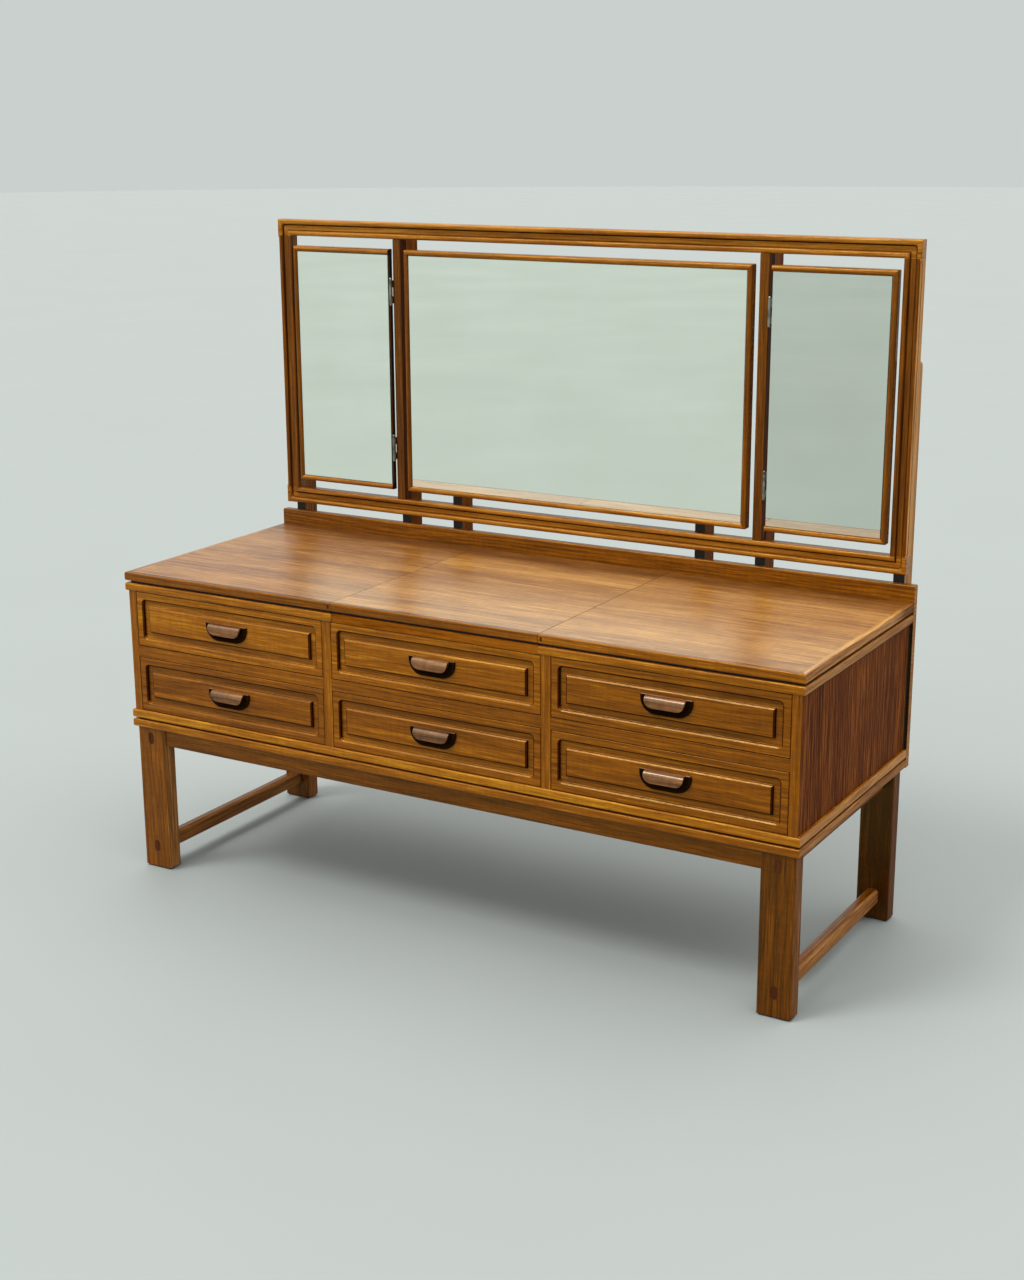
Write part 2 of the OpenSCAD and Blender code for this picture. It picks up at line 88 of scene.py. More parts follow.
class Surface:
    """A material with a Principled shader, and short ways to add nodes to it."""

    def __init__(self, name, **values):
        self.material = bpy.data.materials.new(name)
        self.material.use_nodes = True
        self.tree = self.material.node_tree
        self.tree.nodes.clear()
        self.shader = self.tree.nodes.new("ShaderNodeBsdfPrincipled")
        output = self.tree.nodes.new("ShaderNodeOutputMaterial")
        self.tree.links.new(self.shader.outputs["BSDF"], output.inputs["Surface"])
        for name, value in values.items():
            self.set(self.shader, name.replace("_", " "), value)

    def set(self, node, name, value):
        """Sets an input to a number, or links it when value is another node's output."""
        if isinstance(value, bpy.types.NodeSocket):
            self.tree.links.new(value, node.inputs[name])
        else:
            node.inputs[name].default_value = value

    def add(self, kind, values=None, **settings):
        node = self.tree.nodes.new("ShaderNode" + kind)
        for name, value in settings.items():
            setattr(node, name, value)
        for name, value in (values or {}).items():
            self.set(node, name, value)
        return node

    def calc(self, operation, *values):
        node = self.tree.nodes.new("ShaderNodeMath")
        node.operation = operation
        for i, value in enumerate(values):
            self.set(node, i, value)
        return node.outputs[0]

    def scaled(self, vector, scale):
        node = self.add("VectorMath", operation="MULTIPLY")
        self.set(node, 0, vector)
        node.inputs[1].default_value = scale
        return node.outputs[0]

    def noise(self, vector, detail=2.0, roughness=0.5, distortion=0.0):
        values = {"Vector": vector, "Scale": 1.0, "Detail": detail, "Roughness": roughness}
        return self.add("TexNoise", {**values, "Distortion": distortion})

    def ramp(self, value, stops):
        """Colour ramp through (place, colour) stops."""
        node = self.add("ValToRGB", {"Fac": value})
        marks = node.color_ramp.elements
        while len(marks) < len(stops):
            marks.new(0.5)
        for mark, (place, colour) in zip(marks, stops):
            mark.position = place
            mark.color = colour
        return node.outputs["Color"]

    def range(self, value, low, high, to_low, to_high):
        node = self.add("MapRange", {"Value": value, "From Min": low, "From Max": high})
        node.inputs["To Min"].default_value = to_low
        node.inputs["To Max"].default_value = to_high
        return node.outputs["Result"]

    def bump(self, height, strength, distance):
        node = self.add("Bump", {"Height": height, "Strength": strength, "Distance": distance})
        self.set(self.shader, "Normal", node.outputs["Normal"])


def wood(name, tones, ring_gap=7 * MM, ring=0.12, streak=0.55, broad=0.18, mottle=0.0, pore=0.6,
         gloss=0.38, shine=0.25, coat=0.0, coat_gloss=0.13):
    """Wood whose grain runs along the first coordinate of "grain". tones go from dark to light."""
    s = Surface(name, IOR=1.5, Specular_IOR_Level=shine, Coat_Weight=coat, Coat_Roughness=coat_gloss)
    s.shader.inputs["Specular Tint"].default_value = (1, 0.68, 0.22, 1)
    place = s.add("Attribute", attribute_name="grain").outputs["Vector"]
    tone = s.add("Attribute", attribute_name="tone").outputs["Fac"]
    joint_and_shade = s.add("Attribute", attribute_name="joint_and_shade").outputs["Fac"]
    drift = s.add("VectorMath", operation="SUBTRACT")
    s.set(drift, 0, s.noise(s.scaled(place, (1.3, 7, 7)), detail=2).outputs["Color"])
    drift.inputs[1].default_value = (0.5, 0.5, 0.5)
    bent = s.add("VectorMath", operation="ADD")
    s.set(bent, 0, place)
    s.set(bent, 1, s.scaled(drift.outputs[0], (0, 0.03, 0.03)))
    bent = bent.outputs[0]
    wave = {"Vector": s.scaled(bent, (0.04, 1, 1)), "Scale": 0.314 / ring_gap, "Distortion": 1.6}
    wave = s.add("TexWave", {**wave, "Detail": 2.0, "Detail Scale": 0.6}, wave_type="RINGS",
                 rings_direction="X")
    ring_line = s.calc("POWER", wave.outputs["Fac"], 1.6)
    streaks = s.noise(s.scaled(bent, (7, 240, 240)), detail=6, roughness=0.7).outputs["Fac"]
    bands = s.noise(s.scaled(bent, (1.2, 22, 22)), detail=2).outputs["Fac"]
    fibres = s.noise(s.scaled(place, (22, 1300, 1300)), detail=3, roughness=0.6).outputs["Fac"]
    flecks = s.noise(s.scaled(place, (95, 2400, 2400)), detail=1).outputs["Fac"]
    flecks = s.range(flecks, 0.6, 0.72, 0.0, 1.0)
    ripple = s.noise(s.scaled(place, (130, 28, 28)), detail=3, distortion=0.3).outputs["Fac"]
    light = s.calc("ADD", 0.5, tone)
    for value, weight in ((ring_line, -ring), (streaks, 2.2 * streak), (bands, 2.4 * broad),
                          (fibres, 1.0), (ripple, 2 * mottle)):
        light = s.calc("MULTIPLY_ADD", s.calc("SUBTRACT", value, 0.5), weight, light)
    stops = [(i / (len(tones) - 1), srgb(tone)) for i, tone in enumerate(tones)]
    colour = s.ramp(light, stops)
    darker = s.add("Mix", {"Factor": s.calc("MULTIPLY", flecks, pore)}, data_type="RGBA",
                   blend_type="MULTIPLY")
    s.set(darker, "A", colour)
    darker.inputs["B"].default_value = (0.35, 0.25, 0.2, 1)
    # Darkens the colour towards near black, and roughens it, by the third attribute: dark joints, and painted
    # shade.
    joint_and_shade_mix = s.add("Mix", {"Factor": joint_and_shade}, data_type="RGBA", blend_type="MULTIPLY")
    s.set(joint_and_shade_mix, "A", darker.outputs["Result"])
    joint_and_shade_mix.inputs["B"].default_value = (0.05, 0.03, 0.02, 1)
    s.set(s.shader, "Base Color", joint_and_shade_mix.outputs["Result"])
    rough = s.calc("MULTIPLY_ADD", s.calc("SUBTRACT", streaks, 0.5), -0.25, gloss)
    rough = s.calc("MULTIPLY_ADD", flecks, 0.2, rough)
    s.set(s.shader, "Roughness", s.calc("MULTIPLY_ADD", joint_and_shade, 0.6, rough))
    height = s.calc("MULTIPLY_ADD", flecks, -0.8, s.calc("MULTIPLY", fibres, 0.6))
    s.bump(height, 0.25, 0.0003)
    return s.material


def paint(name, colour, rough):
    """Brushed-on matt paint, a little uneven."""
    s = Surface(name, Specular_IOR_Level=0.35)
    place = s.add("TexCoord").outputs["Object"]
    cloud = s.noise(s.scaled(place, (60, 60, 60)), detail=4).outputs["Fac"]
    s.set(s.shader, "Base Color", s.ramp(cloud, [(0.3, srgb(colour)), (0.8, srgb("#24211e"))]))
    s.set(s.shader, "Roughness", s.calc("MULTIPLY_ADD", s.calc("SUBTRACT", cloud, 0.5), 0.3, rough))
    s.bump(s.noise(s.scaled(place, (900, 900, 900)), detail=2).outputs["Fac"], 0.2, 0.0001)
    return s.material


def metal(name, colour, worn):
    """Plated metal with fine brushing and duller patches."""
    s = Surface(name, Metallic=1.0)
    place = s.add("TexCoord").outputs["Object"]
    patch = s.noise(s.scaled(place, (120, 120, 120)), detail=3).outputs["Fac"]
    s.set(s.shader, "Base Color", s.ramp(patch, [(0.35, srgb(worn)), (0.6, srgb(colour))]))
    brushed = s.noise(s.scaled(place, (4000, 4000, 300)), detail=2).outputs["Fac"]
    s.set(s.shader, "Roughness", s.calc("MULTIPLY_ADD", patch, 0.2, 0.22))
    s.bump(brushed, 0.15, 0.00005)
    return s.material


MIRROR_LEAN = -0.013


def silvered(name, hazy, clear):
    """Old silvered glass with a faint green cast and a trace of haze, leaning forward a little."""
    s = Surface(name, Metallic=1.0)
    place = s.add("TexCoord").outputs["Object"]
    haze = s.noise(s.scaled(place, (5, 5, 5)), detail=5, roughness=0.6).outputs["Fac"]
    s.set(s.shader, "Base Color", s.ramp(haze, [(0.3, srgb(hazy)), (0.7, srgb(clear))]))
    s.set(s.shader, "Roughness", s.range(haze, 0.35, 0.75, 0.006, 0.03))
    lean = s.add("VectorMath", operation="ADD")
    s.set(lean, 0, s.add("NewGeometry").outputs["Normal"])
    lean.inputs[1].default_value = (0, 0, MIRROR_LEAN)
    upright = s.add("VectorMath", operation="NORMALIZE")
    s.set(upright, 0, lean.outputs[0])
    s.set(s.shader, "Normal", upright.outputs[0])
    return s.material


def glass_edge():
    """The ground edge of a glass plate, dark green."""
    s = Surface("glass_edge", IOR=1.5, Roughness=0.3)
    place = s.add("TexCoord").outputs["Object"]
    cloud = s.noise(s.scaled(place, (200, 200, 200)), detail=2).outputs["Fac"]
    s.set(s.shader, "Base Color", s.ramp(cloud, [(0.3, srgb("#1d2c26")), (0.8, srgb("#41584d"))]))
    return s.material


TEAK = wood("teak", ("#341601", "#603002", "#874b04", "#b67f1a"), mottle=0.08, gloss=0.22, shine=0.42)
TOP = wood("teak_top", ("#552a0b", "#7f4d1b", "#a57130", "#c4934e"), ring_gap=5 * MM, ring=0.16,
           streak=1.0, broad=0.35, mottle=0.1, gloss=0.33, shine=0.5, coat=0.4, coat_gloss=0.3)
SIDE = wood("teak_side", ("#220d03", "#4c2107", "#6b350e", "#94551f"), ring_gap=5 * MM, ring=0.2,
            streak=1.3, broad=0.2, gloss=0.4, shine=0.01)
FRAME = wood("teak_frame", ("#2c1001", "#562802", "#7d4505", "#ab7020"), mottle=0.06, gloss=0.22, shine=0.42)
# A lighter, duller copy of the teak for faces turned towards the table's ends and for the end uprights: painted
# light.
LIT_TEAK = wood("teak_painted_lit", ("#4f2a10", "#835127", "#b07c47", "#c6945c"), gloss=0.4, shine=0.04)
# Dark teak of the mirror's boards, uprights and centre web, and also painted shade on groove walls and on the
# inner stiles' side faces.
DARK_TEAK_AND_SHADE = wood("teak_dark_and_shade", ("#2b1002", "#4d2203", "#6c3707", "#8d5212"), gloss=0.35, shine=0.02)
PALE = wood("pale_wood", ("#a5794a", "#bd9462", "#cfa878", "#dcbb90"), ring=0.35, streak=0.3,
            pore=0.2, gloss=0.55)
WALNUT = wood("walnut", ("#240f05", "#47240d", "#6d401f", "#95633a"), streak=1.0, mottle=0.25, gloss=0.3,
              shine=0.45, coat=0.45, coat_gloss=0.08)
# Dark walnut of the tenon plugs, also laid as painted shade in the pulls' hollows.
PLUG_WALNUT_AND_SHADE = wood("plug_walnut_and_shade", ("#1d0a04", "#34170a", "#482410", "#5a3018"), gloss=0.4, shine=0.1)
BLACK = paint("black_paint", "#0b0a09", 0.6)
NICKEL = metal("nickel", "#8f8c82", "#5f5c53")
STEEL = metal("screw_steel", "#b3a98c", "#7c725c")
SILVER = silvered("mirror_silver", "#dde5d9", "#e2e9de")
# Darker silvering for the right wing's glass: a painted dimmer reflection.
DIMMED_SILVER = silvered("mirror_silver_dimmed", "#c8cfc4", "#ccd4c9")
EDGE = glass_edge()
SLOT_OF = {TEAK: "teak", FRAME: "teak", LIT_TEAK: "teak", TOP: "pale_teak", SIDE: "dark_teak", DARK_TEAK_AND_SHADE: "dark_teak", PALE: "pale_teak",
           WALNUT: "walnut", PLUG_WALNUT_AND_SHADE: "walnut", BLACK: "black_paint", NICKEL: "nickel", STEEL: "nickel",
           SILVER: "mirror", DIMMED_SILVER: "mirror"}


# ---------- meshes ----------

def cad_mesh(name, keep=None):
    """The mesh of a CAD node with its flat faces made whole, or only the solids that keep() picks."""
    bm = bmesh.new()
    bm.from_mesh(NODES[name].data)
    bmesh.ops.remove_doubles(bm, verts=bm.verts[:], dist=0.002 * MM)
    bmesh.ops.dissolve_limit(bm, angle_limit=math.radians(1), verts=bm.verts[:], edges=bm.edges[:])
    if keep:
        doomed = [f for group in islands(bm) if not keep(*box_of(group)) for f in group]
        bmesh.ops.delete(bm, geom=doomed, context="FACES")
    return bm


def islands(bm):
    """Groups of faces that hang together, in the order of their first faces."""
    bm.faces.index_update()
    seen = set()
    groups = []
    for start in bm.faces:
        if start.index in seen:
            continue
        seen.add(start.index)
        group, waiting = [start], [start]
        while waiting:
            for edge in waiting.pop().edges:
                for face in edge.link_faces:
                    if face.index not in seen:
                        seen.add(face.index)
                        group.append(face)
                        waiting.append(face)
        groups.append(group)
    return groups


def box_of(faces):
    """Lowest and highest corner of some faces."""
    points = [v.co for face in faces for v in face.verts]
    low = Vector([min(p[i] for p in points) for i in range(3)])
    high = Vector([max(p[i] for p in points) for i in range(3)])
    return low, high


def soften(bm, width, segments=3, least=35):
    """Rounds every outward edge sharper than least degrees."""
    edges = [e for e in bm.edges
             if e.is_manifold and e.calc_face_angle_signed(0) > math.radians(least)]
    bmesh.ops.bevel(bm, geom=edges, offset=width, offset_type="OFFSET", segments=segments,
                    profile=0.5, affect="EDGES", clamp_overlap=True)


def lay_grain(bm, seed, member=None, cut="flat", tone=0.0):
    """Writes "grain" and "tone". Each solid is a board along its longest side, unless member(centre, low,
    high) says otherwise: it returns the board's name and the letter of the axis its grain runs along.
    cut is "flat" for arched figure or "straight" for even lines. tone may differ by that axis."""
    rng = random.Random(seed)
    grain = bm.loops.layers.float_vector.new("grain")
    light = bm.loops.layers.float.new("tone")
    bm.loops.layers.float.new("joint_and_shade")
    for group in islands(bm):
        low, high = box_of(group)
        boards = {}
        for face in group:
            key = member(face.calc_center_median(), low, high) if member else ("", None)
            boards.setdefault(key, []).append(face)
        for (_, along), faces in boards.items():
            low, high = box_of(faces)
            size = high - low
            middle = (high + low) / 2
            order = sorted(range(3), key=lambda i: -size[i])
            if along:
                order.remove(AXES.index(along))
                order.insert(0, AXES.index(along))
            if cut == "flat":
                shift = (rng.uniform(0, 9), rng.uniform(-0.25, 0.25) * size[order[1]], rng.uniform(0.03, 0.07))
            else:
                shift = (rng.uniform(0, 9), rng.uniform(0.3, 0.5), rng.uniform(0.1, 0.2))
            lightness = (tone[along] if isinstance(tone, dict) else tone) + rng.uniform(-0.06, 0.06)
            for face in faces:
                for loop in face.loops:
                    at = loop.vert.co - middle
                    loop[grain] = [at[order[i]] + shift[i] for i in range(3)]
                    loop[light] = lightness


def mark_faces(bm, name, amount):
    """Adds amount(centre, normal) of each face to "tone", or to the darkening of joints and painted shade, where 1
    is nearly black.
    """
    layer = bm.loops.layers.float[name]
    bm.normal_update()
    for face in bm.faces:
        value = amount(face.calc_center_median(), face.normal)
        for loop in face.loops:
            loop[layer] += value


def mark_corners(bm, name, amount):
    """Adds amount(point) of each face's corners to "tone", or to the darkening of joints and painted shade, so the
    mark fades across the face.
    """
    layer = bm.loops.layers.float[name]
    for face in bm.faces:
        for loop in face.loops:
            loop[layer] += amount(loop.vert.co)


def pick_faces(bm, index, chosen):
    """Gives the faces for which chosen(centre, normal) holds another material."""
    bm.normal_update()
    for face in bm.faces:
        if chosen(face.calc_center_median(), face.normal):
            face.material_index = index


def piece(name, bm, material, body, replaces=(), more=()):
    """Turns a mesh into a piece that rides on a body and stands for CAD nodes."""
    mesh = bpy.data.meshes.new(name)
    bm.to_mesh(mesh)
    bm.free()
    for m in (material, *more):
        mesh.materials.append(m)
    for polygon in mesh.polygons:
        polygon.use_smooth = True
    mesh.set_sharp_from_angle(angle=math.radians(40))
    obj = bpy.data.objects.new(name, mesh)
    bpy.context.scene.collection.objects.link(obj)
    modifier = obj.modifiers.new("flat_faces", "WEIGHTED_NORMAL")
    modifier.keep_sharp = True
    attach(obj, body)
    if replaces:
        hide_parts(*replaces)
    return obj


def timber(node, material, width=0.8 * MM, keep=None, name=None, joint_and_shade=0.0, sides=None, **grain):
    """A CAD node's boards with softened edges and grain. sides is the material of the faces towards the
    table's ends, where it differs: a lighter copy of the wood as painted light, and on the inner stiles a darker
    one as painted shade."""
    bm = cad_mesh(node, keep)
    soften(bm, width)
    lay_grain(bm, node, **grain)
    mark_faces(bm, "joint_and_shade", lambda centre, normal: joint_and_shade)
    if sides:
        pick_faces(bm, 1, lambda centre, normal: abs(normal.x) > 0.7)
    body = NODES[node]["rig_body"]
    return piece(name or f"{node}_wood", bm, material, body, [node], more=[sides] if sides else [])


def fitting(node, material, width=0.2 * MM):
    """A CAD node that isn't wood, with softened edges."""
    bm = cad_mesh(node)
    soften(bm, width, segments=2)
    return piece(f"{node}_{SLOT_OF[material]}", bm, material, NODES[node]["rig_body"], [node])


def ring(w, h, r, marks=(), steps=6):
    """Points round a rectangle about the origin, counter-clockwise from the lower right side, as (x, z).
    r is the corner radius. marks are distances from the corners at which the sides get extra points."""
    r = max(r, 0.02 * MM)
    points = []
    corners = ((w / 2, h / 2, 0), (-w / 2, h / 2, 90), (-w / 2, -h / 2, 180), (w / 2, -h / 2, 270))
    for x, z, start in corners:
        centre = Vector((x - math.copysign(r, x), z - math.copysign(r, z)))
        before = Vector((math.sin(math.radians(start)), -math.cos(math.radians(start))))
        after = Vector((-math.cos(math.radians(start)), -math.sin(math.radians(start))))
        corner = Vector((x, z))
        points += [tuple(corner + before * m) for m in reversed(marks)]
        for k in range(steps + 1):
            angle = math.radians(start + 90 * k / steps)
            points.append((centre.x + r * math.cos(angle), centre.y + r * math.sin(angle)))
        points += [tuple(corner + after * m) for m in marks]
    return points


def sweep(bm, rings, cap=False):
    """Skins rings of the same number of 3-D points. cap closes the first and the last."""
    rows = [[bm.verts.new(p) for p in points] for points in rings]
    for a, b in zip(rows, rows[1:]):
        for i in range(len(a)):
            j = (i + 1) % len(a)
            bm.faces.new((a[i], a[j], b[j], b[i]))
    if cap:
        bm.faces.new(reversed(rows[0]))
        bm.faces.new(rows[-1])
    return rows


def arc(centre, r, start, end, steps):
    """Points of an arc in a cross-section, (inset, depth), angles in degrees."""
    turn = [math.radians(start + (end - start) * k / steps) for k in range(steps + 1)]
    return [(centre[0] + r * math.cos(t), centre[1] + r * math.sin(t)) for t in turn]


# ---------- drawers ----------

BORDER, GROOVE, GROOVE_DEPTH = 14.5 * MM, 12.5 * MM, 6 * MM
ARRIS = 1.3 * MM
SLOPE, SLOPE_DEPTH = 2.4 * MM, 2.1 * MM
BIT_R = GROOVE / 2


def routed_front(node, tone):
    """Drawer front with a routed groove, sloped at the brinks. The groove's outer corners follow the bit,
    the field's are sharp."""
    low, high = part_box(node)
    w, h = high.x - low.x, high.z - low.z
    thick = high.y - low.y
    inner = BORDER + GROOVE
    fillet = 1.5 * MM
    soft = 0.25 * MM
    slope = [(-SLOPE - soft, 0), (-SLOPE + soft, soft), (-soft, SLOPE_DEPTH - soft), (0, SLOPE_DEPTH + soft)]
    profile = [(0, thick), (0, ARRIS)]
    profile += arc((ARRIS, ARRIS), ARRIS, 180, 270, 3)[1:]
    profile += [(BORDER + x, y) for x, y in slope]
    profile += arc((BORDER + fillet, GROOVE_DEPTH - fillet), fillet, 180, 90, 3)
    profile += arc((inner - fillet, GROOVE_DEPTH - fillet), fillet, 90, 0, 3)
    profile += [(inner - x, y) for x, y in reversed(slope)]
    middle = (low + high) / 2
    rings = []
    for inset, depth in profile:
        r = 1 * MM
        if inset > BORDER - 2 * SLOPE:
            r = max(BIT_R - (inset - BORDER), 0.3 * MM)
        if inset > inner - fillet:
            r = 0.5 * MM
        points = ring(w - 2 * inset, h - 2 * inset, r)
        rings.append([(middle.x + x, low.y + depth, middle.z + z) for x, z in points])
    bm = bmesh.new()
    sweep(bm, rings, cap=True)
    bmesh.ops.recalc_face_normals(bm, faces=bm.faces[:])
    lay_grain(bm, node, tone=tone)

    # Painted shade: the groove's walls, except those facing up, are darkened and take the dark teak.
    def groove_wall_shade(centre, normal):
        inside = abs(centre.x - middle.x) < w / 2 - SLOPE and abs(centre.z - middle.z) < h / 2 - SLOPE
        if not inside or abs(normal.y) > 0.9 or normal.z > 0.3:
            return 0.0
        return 0.85 if centre.y - low.y > SLOPE_DEPTH else 0.6

    mark_faces(bm, "joint_and_shade", groove_wall_shade)
    pick_faces(bm, 1, lambda centre, normal: groove_wall_shade(centre, normal) > 0)
    return piece(f"{node}_wood", bm, TEAK, NODES[node]["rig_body"], [node], more=[DARK_TEAK_AND_SHADE])


def pull(node):
    """Pull: a dished plate, and a hood that curls forward and down from its top edge."""
    low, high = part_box(node)
    middle = (low.x + high.x) / 2
    width, height, out = high.x - low.x, high.z - low.z, high.y - low.y
    plate_t, plate_r = 3.5 * MM, 27 * MM
    bm = bmesh.new()

    def outline(w, h, r, top_r, steps=14):
        """Flat top, round lower corners, about the middle of the top edge: (x, z)."""
        points = []
        for x, z, radius, start in ((w / 2, 0, top_r, 0), (-w / 2, 0, top_r, 90),
                                    (-w / 2, -h, r, 180), (w / 2, -h, r, 270)):
            cx, cz = x - math.copysign(radius, x), (z - radius if z == 0 else z + radius)
            for k in range(steps + 1):
                t = math.radians(start + 90 * k / steps)
                points.append((cx + radius * math.cos(t), cz + radius * math.sin(t)))
        return points

    def plate_ring(inset, depth):
        top_r = max(2 * MM - inset, 1.5 * MM)
        r = min(plate_r - inset, height - 2 * inset - top_r - 0.5 * MM)
        points = outline(width - 2 * inset, height - 2 * inset, r, top_r)
        return [(middle + x, high.y - depth, high.z - inset + z) for x, z in points]

    rim = 3.2 * MM
    profile = [(0, 0), (0, plate_t - 1 * MM)]
    profile += [(1 * MM - x, plate_t - 1 * MM + y) for x, y in arc((0, 0), 1 * MM, 0, 90, 3)][1:]
    profile += [(rim - 0.6 * MM, plate_t), (rim, plate_t - 0.5 * MM), (rim + 3 * MM, plate_t - 1.8 * MM)]
    profile += [(rim + 8 * MM, plate_t - 2.3 * MM)]
    sweep(bm, [plate_ring(*p) for p in profile], cap=True)

    bend = out - plate_t + 1 * MM
    top = high.z - 0.3 * MM
    back_y = high.y - plate_t + 1 * MM
    hood_half, corner = 35.5 * MM, 14 * MM
    path = [(back_y - bend * math.sin(t), top - bend + bend * math.cos(t))
            for t in [math.radians(90 * k / 10) for k in range(11)]]
    path += [(path[-1][0] + 0.02 * drop * MM, top - bend - drop * MM) for drop in (2, 4, 6, 7.5, 8.6, 9.4)]
    lengths = [0.0]
    for a, b in zip(path, path[1:]):
        lengths.append(lengths[-1] + math.dist(a, b))
    total = lengths[-1]
    columns = 28
    outer = []
    for (y, z), s in zip(path, lengths):
        near_end = max(0.0, s - (total - corner))
        half = hood_half - corner + math.sqrt(max(corner ** 2 - near_end ** 2, 0))
        row = [-half + 2 * half * i / columns for i in range(columns + 1)]
        outer.append([bm.verts.new((middle + x, y, z)) for x in row])
    sheet = []
    for a, b in zip(outer, outer[1:]):
        for i in range(columns):
            sheet.append(bm.faces.new((a[i], b[i], b[i + 1], a[i + 1])))
    bmesh.ops.recalc_face_normals(bm, faces=bm.faces[:])
    if sheet[0].normal.z < 0:
        bmesh.ops.reverse_faces(bm, faces=sheet)
    bmesh.ops.solidify(bm, geom=sheet, thickness=3.6 * MM)
    soften(bm, 0.9 * MM, segments=3, least=50)
    lay_grain(bm, node, member=lambda centre, lo, hi: ("", "x"))

    # Painted shade: the dished plate and the hood's underside are darkened and take the dark walnut.
    def in_shade(centre, normal):
        under_hood = centre.y < back_y - 2 * MM and normal.y > 0.1
        return 0.9 if centre.y > back_y - 2 * MM and centre.z < high.z - 1 * MM or under_hood else 0.0

    mark_faces(bm, "joint_and_shade", in_shade)
    pick_faces(bm, 1, lambda centre, normal: in_shade(centre, normal) > 0)
    return piece(f"{node}_wood", bm, WALNUT, NODES[node]["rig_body"], [node], more=[PLUG_WALNUT_AND_SHADE])


def drawer_box(node):
    low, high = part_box(node)
    bm = cad_mesh(node)
    soften(bm, 0.8 * MM)
    inner = 9.5 * MM

    def member(centre, lo, hi):
        if centre.x < lo.x + inner:
            return "left", "y"
        if centre.x > hi.x - inner:
            return "right", "y"
        return ("back", "x") if centre.y > hi.y - inner and centre.z > lo.z + inner else ("floor", "x")

    lay_grain(bm, node, member=member)
    return piece(f"{node}_wood", bm, PALE, NODES[node]["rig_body"], [node])


TONES = {"left_upper": 0.16, "left_lower": -0.02, "centre_upper": 0.0, "centre_lower": 0.02,
         "right_upper": 0.03, "right_lower": 0.0}
for drawer in DRAWERS:
    routed_front(f"front_{drawer}", TONES[drawer])
    pull(f"pull_{drawer}")
    drawer_box(f"box_{drawer}")


# ---------- case and base ----------

def cross_or_length(centre, low, high):
    """Rails of the base: the side ones run front to back."""
    return ("side", "y") if (high - low).y > (high - low).x else ("front", "x")


def upright_grain(centre, low, high):
    return "", "z"


LIP = 10 * MM
SEAM = 1 * MM


# Painted shadow of the splash board on the tops: (distance from the back edge, how dark).
SPLASH_SHADE = ((0, 0.5), (40 * MM, 0.46), (65 * MM, 0.2), (105 * MM, 0))


def splash_shade(distance):
    """How dark the painted shadow of the splash board makes the top at a distance from it."""
    for (a, at_a), (b, at_b) in zip(SPLASH_SHADE, SPLASH_SHADE[1:]):
        if distance < b:
            return at_a + (at_b - at_a) * (distance - a) / (b - a)
    return 0.0


def lipped(node, material, cut="flat", tone=0.0, seams={}):
    """Boards with solid lippings along the front and the table's ends, mitred at the corners. seams gives
    how dark the boards' ends are at an x, and marks the boards on which the splash board's shadow is painted."""
    low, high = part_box(node)
    bm = cad_mesh(node)
    soften(bm, 0.6 * MM)
    front = low.y + LIP
    planes = [(Vector((0, front, 0)), Vector((0, 1, 0)))]
    sides = [side for side in SIDES.values() if side * (high.x if side > 0 else low.x) > 0.6]
    for side in sides:
        end = (high.x if side > 0 else low.x) - side * LIP
        planes += [(Vector((end, 0, 0)), Vector((1, 0, 0))),
                   (Vector((end, front, 0)), Vector((side, 1, 0)).normalized())]
    planes += [(Vector((x + d, 0, 0)), Vector((1, 0, 0))) for x in seams for d in (-SEAM, SEAM)]
    if seams:
        planes += [(Vector((0, high.y - distance, 0)), Vector((0, 1, 0))) for distance, _ in SPLASH_SHADE[1:]]
    for point, normal in planes:
        bmesh.ops.bisect_plane(bm, geom=bm.verts[:] + bm.edges[:] + bm.faces[:], plane_co=point,
                               plane_no=normal, dist=0.001 * MM)

    def member(centre, lo, hi):
        for side in sides:
            past_end = (centre.x - (high.x if side > 0 else low.x)) * side + LIP
            if past_end > 0 and past_end > front - centre.y:
                return f"end{side}", "y"
        return ("front", "x") if centre.y < front else ("", "x")

    lay_grain(bm, node, member=member, cut=cut, tone=tone)
    pick_faces(bm, 1, lambda centre, normal: member(centre, low, high)[0] == "front")
    # Painted light: the end faces take the lit teak copy, with their tone set back a little below.
    pick_faces(bm, 2, lambda centre, normal: abs(normal.x) > 0.7)
    # Painted light: the lippings' front faces are lighter.
    mark_faces(bm, "tone", lambda centre, normal: 0.1 if centre.y < front and normal.y < -0.3 else 0.0)
    mark_faces(bm, "tone", lambda centre, normal: -0.12 if abs(normal.x) > 0.7 else 0.0)

    def seam(centre, normal):
        return sum(amount for x, amount in seams.items() if abs(centre.x - x) < SEAM)

    mark_faces(bm, "joint_and_shade", seam)
    if seams:
        # Painted shadow of the splash board along the back of the tops, darker and redder; the tops also grow
        # lighter from front to back.
        mark_corners(bm, "joint_and_shade", lambda point: 0.3 * splash_shade(high.y - point.y))
        mark_corners(bm, "tone", lambda point: -splash_shade(high.y - point.y))
        mark_corners(bm, "tone", lambda point: 0.25 * ((point.y - low.y) / (high.y - low.y) - 0.5))
    return piece(f"{node}_wood", bm, material, NODES[node]["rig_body"], [node], more=[TEAK, LIT_TEAK])


def side_panel(node):
    """Veneered side with a lighter lipping on its front edge."""
    low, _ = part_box(node)
    bm = cad_mesh(node)
    soften(bm, 0.5 * MM)
    lay_grain(bm, node, member=upright_grain, cut="straight")
    pick_faces(bm, 1, lambda centre, normal: centre.y < low.y + 0.8 * MM)
    return piece(f"{node}_wood", bm, SIDE, NODES[node]["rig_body"], [node], more=[TEAK])


